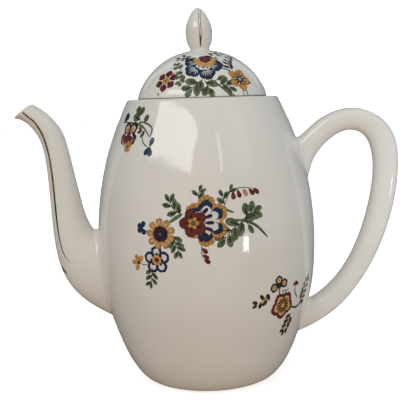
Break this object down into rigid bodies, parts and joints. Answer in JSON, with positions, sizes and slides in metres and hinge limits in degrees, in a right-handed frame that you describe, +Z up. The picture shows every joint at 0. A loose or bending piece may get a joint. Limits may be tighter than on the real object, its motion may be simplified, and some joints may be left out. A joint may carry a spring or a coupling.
{
  "type": "coffee pot",
  "caption": "Tall porcelain coffee pot: barrel body with a stepped mouth, beaked S spout, ear handle and a lift-off domed lid with a bud knob.",
  "frame": {"origin": "centre of the foot ring, in the plane that the pot stands on", "axes": "+Z up along the barrel's axis; the spout points along -X and the handle along +X, both in the plane Y = 0; -Y is the decorated front"},
  "size_m": [0.2205, 0.1256, 0.214],
  "materials": {
    "glaze": "clear gloss glaze on warm white porcelain",
    "bisque": "matt unglazed foot",
    "gilding": "burnished gold line",
    "enamel_ochre": "gloss enamel",
    "enamel_cream": "gloss enamel",
    "enamel_red": "gloss enamel",
    "enamel_blue": "gloss enamel",
    "enamel_purple": "gloss enamel",
    "enamel_green": "gloss enamel",
    "enamel_dark_green": "gloss enamel",
    "enamel_pink": "gloss enamel",
    "enamel_white": "gloss enamel",
    "enamel_black": "gloss enamel"
  },
  "bodies": {
    "pot": {"pot_body": "glaze", "spout": "glaze", "handle": "glaze"},
    "lid": {"lid": "glaze", "lid_knob": "glaze"}
  },
  "joints": [
    {"name": "lid_lift", "type": "slide", "parent": "pot", "child": "lid", "axis": [0, 0, 1], "range_m": [0, 0.06]}
  ]
}
